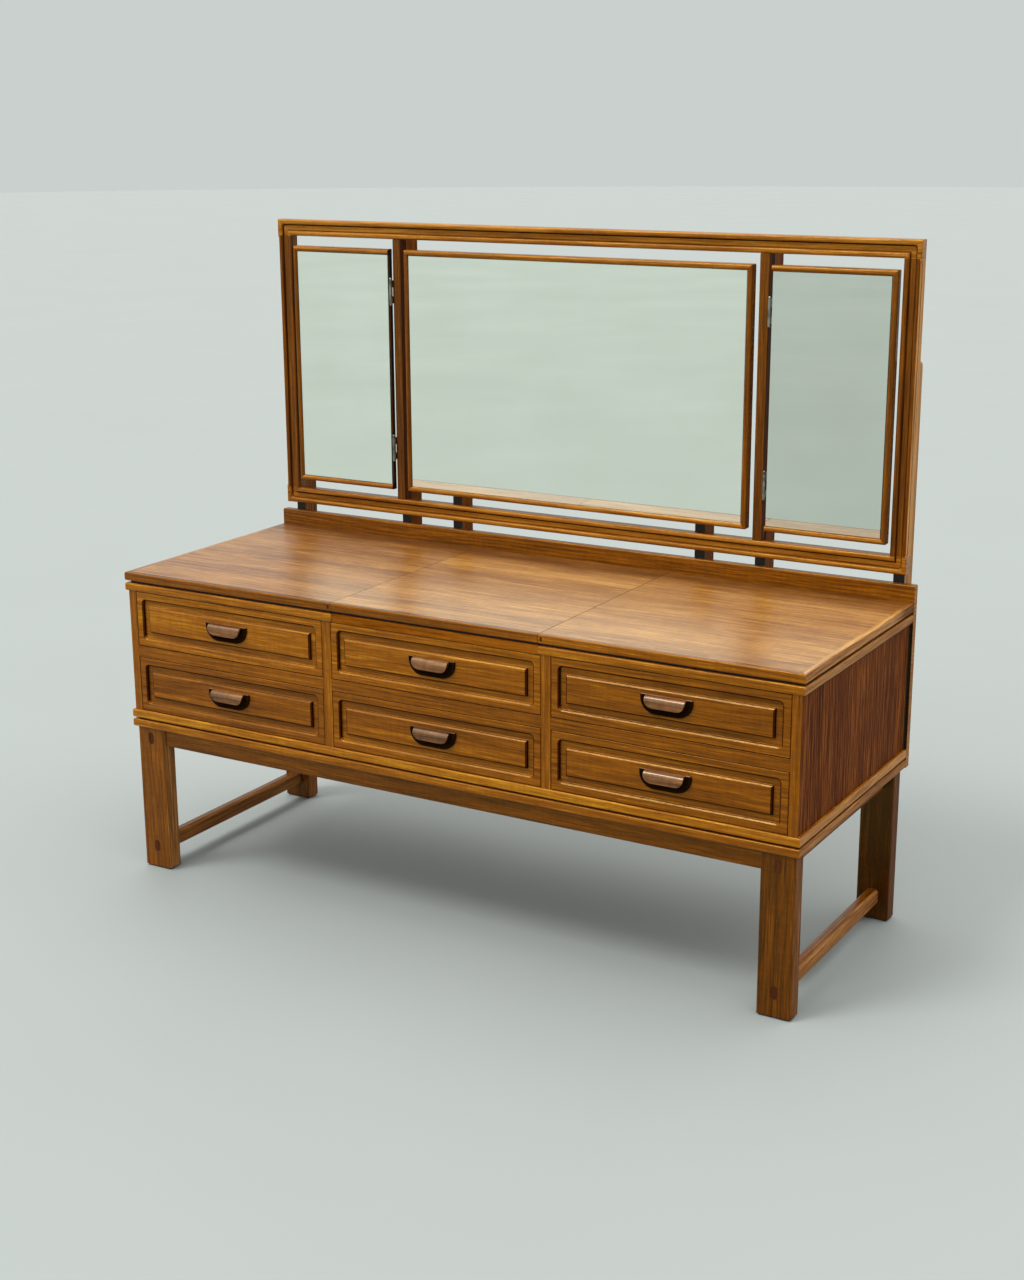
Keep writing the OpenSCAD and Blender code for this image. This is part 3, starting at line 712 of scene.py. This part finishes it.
def back_board():
    """The splash board, with painted shade on its front face in the hollow between it and each side panel."""
    bm = cad_mesh("back_board")
    soften(bm, 0.8 * MM)
    face_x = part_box("side_right")[1].x
    bottom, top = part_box("bottom_board")[1].z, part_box("under_boards")[0].z
    for point, normal in (((face_x, 0, 0), (1, 0, 0)), ((-face_x, 0, 0), (1, 0, 0)),
                          ((0, 0, bottom), (0, 0, 1)), ((0, 0, top), (0, 0, 1))):
        bmesh.ops.bisect_plane(bm, geom=bm.verts[:] + bm.edges[:] + bm.faces[:], plane_co=point,
                               plane_no=normal, dist=0.001 * MM)
    lay_grain(bm, "back_board", member=lambda c, lo, hi: ("", "x"), cut="straight", tone=-0.1)

    # Painted shade on the front face in the hollow behind each side panel.
    def hollow(centre, normal):
        return 0.95 if normal.y < -0.3 and abs(centre.x) > face_x and bottom < centre.z < top else 0.0

    mark_faces(bm, "joint_and_shade", hollow)
    # Painted light: the end faces take the lit teak copy.
    pick_faces(bm, 1, lambda centre, normal: abs(normal.x) > 0.7)
    return piece("back_board_wood", bm, TEAK, "cabinet", ["back_board"], more=[LIT_TEAK])


# Each leg is its own board, and the back legs are darker still as painted shade under the table. Legs, rails and
# stretchers take the lit teak copy on their end faces: painted light.
LEG_TONES_AND_SHADE = {"leg_front_left": -0.18, "leg_front_right": -0.3, "leg_back_left": -0.35, "leg_back_right": -0.45}
for node, tone in LEG_TONES_AND_SHADE.items():
    timber(node, TEAK, 1.2 * MM, sides=LIT_TEAK, member=upright_grain, tone=tone)
timber("base_rails", TEAK, 0.8 * MM, sides=LIT_TEAK, member=cross_or_length, tone=-0.25)
timber("stretchers", TEAK, 0.8 * MM, sides=LIT_TEAK, member=lambda c, lo, hi: ("", "y"), tone=-0.1)
timber("tenon_plugs", PLUG_WALNUT_AND_SHADE, 0.3 * MM, member=upright_grain)
side_panel("side_left")
side_panel("side_right")
timber("dividers", TEAK, 0.4 * MM, member=upright_grain)
timber("drawer_rails", TEAK, 0.4 * MM, tone=-0.05)
timber("drawer_runners", PALE, 0.8 * MM)
timber("centre_web", DARK_TEAK_AND_SHADE, 0.5 * MM, member=lambda c, lo, hi: ("", "x"), tone=0.3)
lipped("base_board", TEAK)
lipped("bottom_board", TEAK, tone=0.1)
SEAMS = {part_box("top_centre")[0].x: 0.3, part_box("top_centre")[1].x: 0.65}
lipped("under_boards", TEAK, tone=0.05)
# The top boards differ in tone, and the right one is lighter and the left darker also as a painted sheen that
# grows towards the right.
for node, tone in (("top_left", -0.14), ("top_centre", 0.0), ("top_right", 0.06)):
    lipped(node, TOP, "straight", tone, SEAMS)
back_board()
for node in ("glides", "case_back", "shadow_strips"):
    fitting(node, BLACK, 0.5 * MM)


# ---------- mirror frame ----------

posts = cad_mesh("uprights")
soften(posts, 0.8 * MM)
lay_grain(posts, "uprights", member=upright_grain, tone=0.1)
# Painted light and shade: the end uprights take the lit teak copy, and their inward faces are darker.
pick_faces(posts, 1, lambda centre, normal: abs(centre.x) > 0.6)
mark_faces(posts, "tone", lambda centre, normal: -0.3 if abs(centre.x) > 0.6 and normal.x * centre.x < 0 else 0.0)
piece("uprights_wood", posts, DARK_TEAK_AND_SHADE, "cabinet", ["uprights"], more=[LIT_TEAK])
fitting("upright_facings", BLACK)
fitting("screws", STEEL, 0.4 * MM)

MEMBER, BEAD = 31.5 * MM, 9.5 * MM
FRAME_GROOVE = 5 * MM
STOP = 33 * MM
FRAME_TONE = {"x": 0.2, "z": -0.08}


def mirror_frame():
    """Frame swept round with two beads and a groove. The rails run through, the stiles sit between them,
    and the rounding of the outer edges at the sides stops at the rails."""
    low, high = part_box("frame_rails")
    w, h, depth = high.x - low.x, high.z - low.z, high.y - low.y
    middle = (low + high) / 2
    marks = (STOP - 1 * MM, STOP + 3 * MM)
    outer_r, inner_r = 4.5 * MM, 3.5 * MM
    profile = [(0, depth)]
    profile += arc((outer_r, outer_r), outer_r, 180, 270, 6)
    profile += arc((BEAD - inner_r, inner_r), inner_r, 270, 360, 5)
    edge, rise = 2.2 * MM, 0.3 * MM
    profile += [(BEAD, FRAME_GROOVE - rise), (BEAD + edge, FRAME_GROOVE)]
    profile += [(MEMBER - BEAD - edge, FRAME_GROOVE), (MEMBER - BEAD, FRAME_GROOVE - rise)]
    profile += arc((MEMBER - BEAD + inner_r, inner_r), inner_r, 180, 270, 5)
    profile += arc((MEMBER - outer_r, outer_r), outer_r, 270, 360, 6)
    profile += [(MEMBER, depth)]
    rings = []
    for inset, d in profile:
        r = 1.5 * MM if inset < BEAD else max(GROOVE / 2 - (inset - BEAD), 0.2 * MM)
        if inset > MEMBER - BEAD - 0.1 * MM:
            r = 0.2 * MM
        row = []
        for x, z in ring(w - 2 * inset, h - 2 * inset, r, marks):
            y = d
            near_corner = h / 2 - abs(z) < STOP and abs(abs(x) - w / 2) < outer_r
            if near_corner and d < depth and inset < outer_r:
                x = math.copysign(w / 2 - inset * 0.2, x)
                y = d * 0.2
            row.append((middle.x + x, low.y + y, middle.z + z))
        rings.append(row)
    bm = bmesh.new()
    rows = sweep(bm, rings)
    for i in range(len(rows[0])):
        j = (i + 1) % len(rows[0])
        bm.faces.new((rows[-1][i], rows[-1][j], rows[0][j], rows[0][i]))
    bmesh.ops.recalc_face_normals(bm, faces=bm.faces[:])
    joint = h / 2 - MEMBER
    for z in (-joint, joint):
        bmesh.ops.bisect_plane(bm, geom=bm.verts[:] + bm.edges[:] + bm.faces[:],
                               plane_co=(0, 0, middle.z + z), plane_no=(0, 0, 1), dist=0.001 * MM)

    def member(centre, lo, hi):
        if abs(centre.z - middle.z) > joint:
            return ("top", "x") if centre.z > middle.z else ("bottom", "x")
        return ("right", "z") if centre.x > middle.x else ("left", "z")

    lay_grain(bm, "mirror_frame", member=member, tone=FRAME_TONE)

    def stile_side_lit(centre, normal):
        out = abs(centre.x - middle.x) > w / 2 - outer_r
        return out and abs(centre.z - middle.z) < joint and abs(normal.x) > 0.4

    # Painted light: the stiles' outer side faces take the lit teak copy and a lighter tone.
    pick_faces(bm, 1, stile_side_lit)
    mark_faces(bm, "tone", lambda centre, normal: 0.3 if stile_side_lit(centre, normal) else 0.0)

    # Painted shade in the groove: the walls and the floor under the upper bead are darkened most, the rest of the
    # floor less, and the darker parts take the dark teak.
    def groove(centre, normal):
        if not inner_r < centre.y - low.y < FRAME_GROOVE + 0.1 * MM or normal.z > 0.3:
            return 0.0
        if normal.y > -0.9:
            return 0.9
        if centre.y - low.y > FRAME_GROOVE - rise / 4:
            return 0.1
        inset = min(w / 2 - abs(centre.x - middle.x), h / 2 - abs(centre.z - middle.z))
        outer = inset < MEMBER / 2
        return 0.85 if outer and centre.z - middle.z > joint or not outer and centre.z - middle.z < -joint else 0.3

    mark_faces(bm, "joint_and_shade", groove)
    pick_faces(bm, 2, lambda centre, normal: groove(centre, normal) > 0.2)
    return piece("mirror_frame_wood", bm, FRAME, "cabinet", ["frame_rails", "frame_stiles"],
                 more=[LIT_TEAK, DARK_TEAK_AND_SHADE])


mirror_frame()
# Painted shade: the inner stiles' side faces take the dark teak.
timber("frame_stiles", FRAME, 0.8 * MM, name="inner_stiles_wood", sides=DARK_TEAK_AND_SHADE, member=upright_grain, tone=-0.2,
       keep=lambda low, high: abs(low.x + high.x) / 2 < 0.5)

STRIP = 10.5 * MM


def half_round_strips(node, open_x=None):
    """Half-round strips mitred round a mirror. A wing has none on its hinge edge, at open_x."""
    low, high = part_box(node)
    if open_x is not None:
        spare = math.copysign(2 * STRIP, open_x)
        low, high = low.copy(), high.copy()
        if abs(low.x) < abs(high.x):
            low.x -= abs(spare)
        else:
            high.x += abs(spare)
    w, h, depth = high.x - low.x, high.z - low.z, high.y - low.y
    middle = (low + high) / 2
    r = STRIP / 2
    profile = [(0, depth)] + arc((r, r), r, 180, 360, 12) + [(STRIP, depth)]
    rings = []
    for inset, d in profile:
        corner = max(2.5 * MM - inset, 0.2 * MM)
        points = ring(w - 2 * inset, h - 2 * inset, corner)
        rings.append([(middle.x + x, low.y + d, middle.z + z) for x, z in points])
    bm = bmesh.new()
    rows = sweep(bm, rings)
    for i in range(len(rows[0])):
        j = (i + 1) % len(rows[0])
        bm.faces.new((rows[-1][i], rows[-1][j], rows[0][j], rows[0][i]))
    bmesh.ops.recalc_face_normals(bm, faces=bm.faces[:])
    if open_x is not None:
        outward = -1 if open_x > 0 else 1
        cut = bmesh.ops.bisect_plane(bm, geom=bm.verts[:] + bm.edges[:] + bm.faces[:],
                                     plane_co=(open_x, 0, 0), plane_no=(outward, 0, 0),
                                     clear_outer=True, dist=0.001 * MM)
        edges = [e for e in cut["geom_cut"] if isinstance(e, bmesh.types.BMEdge)]
        caps = bmesh.ops.contextual_create(bm, geom=edges)["faces"]
        for face in caps:
            face.material_index = 1

    def member(centre, lo, hi):
        across = (h / 2 - abs(centre.z - middle.z)) < (w / 2 - abs(centre.x - middle.x))
        if across:
            return ("top", "x") if centre.z > middle.z else ("bottom", "x")
        return ("right", "z") if centre.x > middle.x else ("left", "z")

    lay_grain(bm, node, member=member, tone=FRAME_TONE)
    return piece(f"{node}_wood", bm, FRAME, NODES[node]["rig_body"], [node], more=[BLACK])


def mirror_glass(node, silver=SILVER):
    bm = cad_mesh(node)
    soften(bm, 0.5 * MM, segments=1)
    pick_faces(bm, 1, lambda centre, normal: normal.y > -0.9)
    return piece(f"{node}_plate", bm, silver, NODES[node]["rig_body"], [node], more=[EDGE])


half_round_strips("centre_strips")
mirror_glass("centre_glass")
timber("centre_board", DARK_TEAK_AND_SHADE, 0.5 * MM)
timber("centre_battens", PALE, 1 * MM, tone=-0.4)
for name, side in SIDES.items():
    low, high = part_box(f"wing_{name}_strips")
    hinge_edge = low.x if side > 0 else high.x
    half_round_strips(f"wing_{name}_strips", hinge_edge)
    # The right wing's glass takes the darker silvering, a painted dimmer reflection.
    mirror_glass(f"wing_{name}_glass", DIMMED_SILVER if side > 0 else SILVER)
    board = cad_mesh(f"wing_{name}_board")
    soften(board, 0.4 * MM, segments=2)
    lay_grain(board, name)
    pick_faces(board, 1, lambda centre, normal: normal.x * side < -0.5)
    piece(f"wing_{name}_board_wood", board, DARK_TEAK_AND_SHADE, f"wing_{name}", [f"wing_{name}_board"], more=[BLACK])
    fitting(f"wing_{name}_leaves", NICKEL, 0.15 * MM)
fitting("hinge_frame_leaves", NICKEL, 0.15 * MM)
fitting("hinge_pins", NICKEL, 0.1 * MM)


# ---------- stage, light and camera ----------

def stage_floor():
    """A wide, plain, pale floor with a little unevenness in its tone."""
    s = Surface("pale_floor", Specular_IOR_Level=0.3)
    place = s.add("TexCoord").outputs["Object"]
    cloud = s.noise(s.scaled(place, (1.5, 1.5, 1.5)), detail=4).outputs["Fac"]
    s.set(s.shader, "Base Color", s.ramp(cloud, [(0.2, srgb("#8f9492")), (0.8, srgb("#919694"))]))
    s.set(s.shader, "Roughness", s.range(cloud, 0.3, 0.7, 0.55, 0.7))
    bm = bmesh.new()
    bmesh.ops.create_circle(bm, cap_ends=True, segments=96, radius=30)
    mesh = bpy.data.meshes.new("floor")
    bm.to_mesh(mesh)
    bm.free()
    mesh.materials.append(s.material)
    floor = bpy.data.objects.new("floor", mesh)
    bpy.context.scene.collection.objects.link(floor)
    floor.location.z = -0.2 * MM


def towards(azimuth, elevation):
    """Unit vector from the table. Azimuth 0 is in front of it, 90 to its right."""
    a, e = math.radians(azimuth), math.radians(elevation)
    return Vector((math.sin(a) * math.cos(e), -math.cos(a) * math.cos(e), math.sin(e)))


def soft_sun(name, azimuth, elevation, power, spread):
    """A wide, distant light, so the floor is as bright far off as it is near."""
    data = bpy.data.lights.new(name, "SUN")
    data.energy = power
    data.angle = math.radians(spread)
    light = bpy.data.objects.new(name, data)
    bpy.context.scene.collection.objects.link(light)
    light.rotation_euler = towards(azimuth, elevation).to_track_quat("Z", "Y").to_euler()


def room_light(walls, ceiling, window, window_gain):
    """A room with pale walls, a brighter ceiling and a soft bright patch towards the window. The colours
    may be brighter than white."""
    world = bpy.data.worlds.new("room")
    world.use_nodes = True
    tree = world.node_tree
    place = tree.nodes.new("ShaderNodeTexCoord")
    split = tree.nodes.new("ShaderNodeSeparateXYZ")
    ramp = tree.nodes.new("ShaderNodeValToRGB")
    facing = tree.nodes.new("ShaderNodeVectorMath")
    patch = tree.nodes.new("ShaderNodeMapRange")
    total = tree.nodes.new("ShaderNodeMix")
    back = tree.nodes["Background"]
    ramp.color_ramp.elements[0].position = 0.4
    ramp.color_ramp.elements[0].color = walls
    ramp.color_ramp.elements[1].position = 0.85
    ramp.color_ramp.elements[1].color = ceiling
    facing.operation = "DOT_PRODUCT"
    facing.inputs[1].default_value = window
    patch.interpolation_type = "SMOOTHSTEP"
    patch.inputs["From Min"].default_value = 0.85
    patch.inputs["To Max"].default_value = window_gain
    total.data_type = "RGBA"
    total.blend_type = "ADD"
    total.inputs["Factor"].default_value = 1
    tree.links.new(place.outputs["Generated"], split.inputs[0])
    tree.links.new(split.outputs["Z"], ramp.inputs["Fac"])
    tree.links.new(place.outputs["Generated"], facing.inputs[0])
    tree.links.new(facing.outputs["Value"], patch.inputs["Value"])
    tree.links.new(ramp.outputs["Color"], total.inputs["A"])
    tree.links.new(patch.outputs["Result"], total.inputs["B"])
    tree.links.new(total.outputs["Result"], back.inputs["Color"])
    bpy.context.scene.world = world


AZIMUTH, ELEVATION, ROLL = 30.5, 15.7, -0.3
AIM = Vector((0.019, -0.031, 0.489))
DISTANCE = 3.45
LENS = 54.08


def camera():
    data = bpy.data.cameras.new("camera")
    data.sensor_width = 36
    data.lens = LENS
    obj = bpy.data.objects.new("camera", data)
    bpy.context.scene.collection.objects.link(obj)
    turn = (Matrix.Rotation(math.radians(AZIMUTH), 3, "Z")
            @ Matrix.Rotation(math.radians(90 - ELEVATION), 3, "X")
            @ Matrix.Rotation(math.radians(ROLL), 3, "Z"))
    place = AIM + towards(AZIMUTH, ELEVATION) * DISTANCE
    obj.matrix_world = Matrix.Translation(place) @ turn.to_4x4()
    bpy.context.scene.camera = obj


stage_floor()
room_light(srgb("#cad0ce"), (2.4, 2.4, 2.35, 1), towards(-32, 20), 1.3)
soft_sun("window", -38, 56, 1.4, 18)
camera()
bpy.context.scene.view_settings.view_transform = "Standard"
